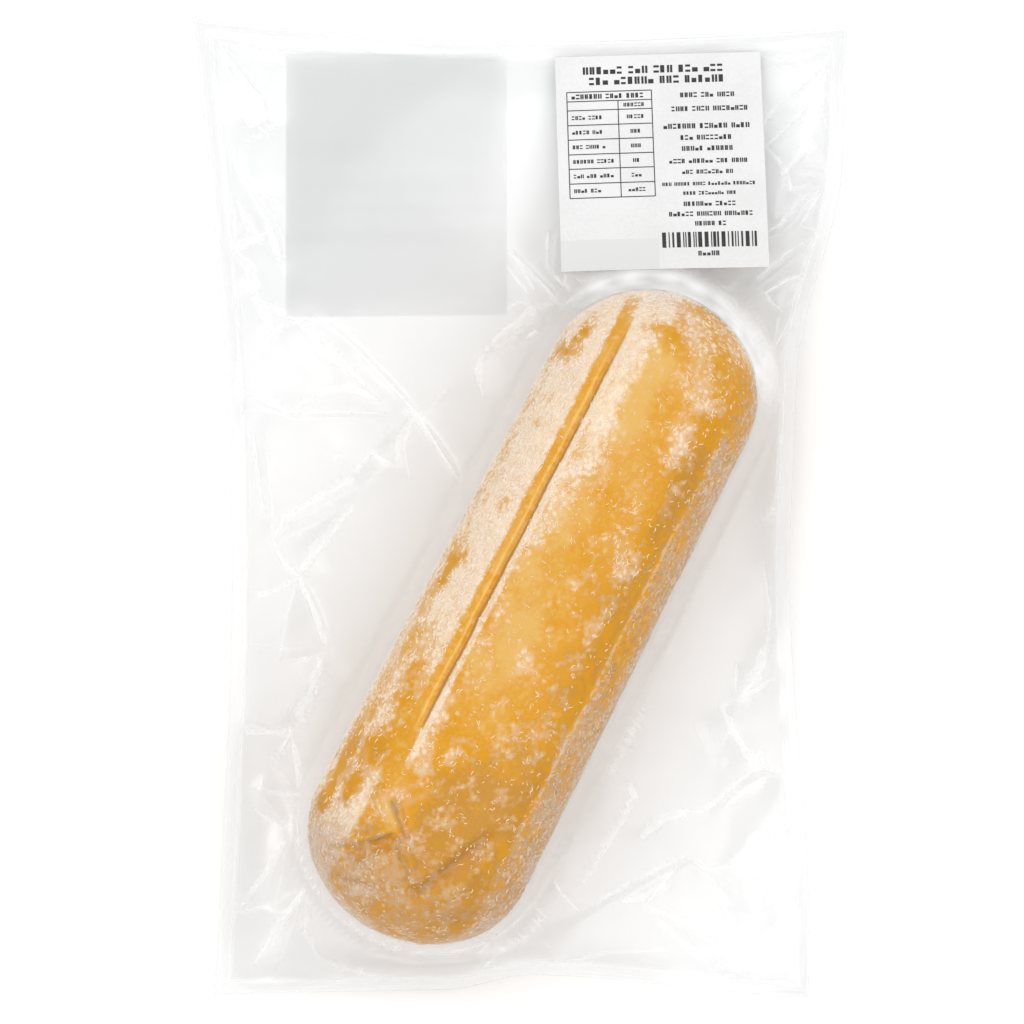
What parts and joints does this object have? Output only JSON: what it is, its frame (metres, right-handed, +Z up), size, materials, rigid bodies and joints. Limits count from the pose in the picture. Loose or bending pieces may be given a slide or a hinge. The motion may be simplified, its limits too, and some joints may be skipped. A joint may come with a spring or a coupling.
{
  "type": "smoked mozzarella log",
  "caption": "Frozen smoked mozzarella log with a score along its crown, lying slantwise in a clear flat vacuum pouch with a printed paper label.",
  "frame": {"origin": "middle of the pouch's footprint, on the surface it lies on", "axes": "+Y along the pouch's length towards its labelled end, +X across its width, +Z up"},
  "size_m": [0.2, 0.299, 0.0652],
  "materials": {
    "smoked_cheese": "amber smoked cheese, satin, dusted with frost",
    "pouch_film": "clear glossy film",
    "frost": "white ice crystals",
    "label_paper": "matte white",
    "label_ink": "matte black print",
    "blank_label_film": "bare translucent white, satin"
  },
  "bodies": {
    "root": {"log_in_pouch": "smoked_cheese", "printed_label": "label_paper", "blank_label": "blank_label_film"}
  },
  "joints": []
}
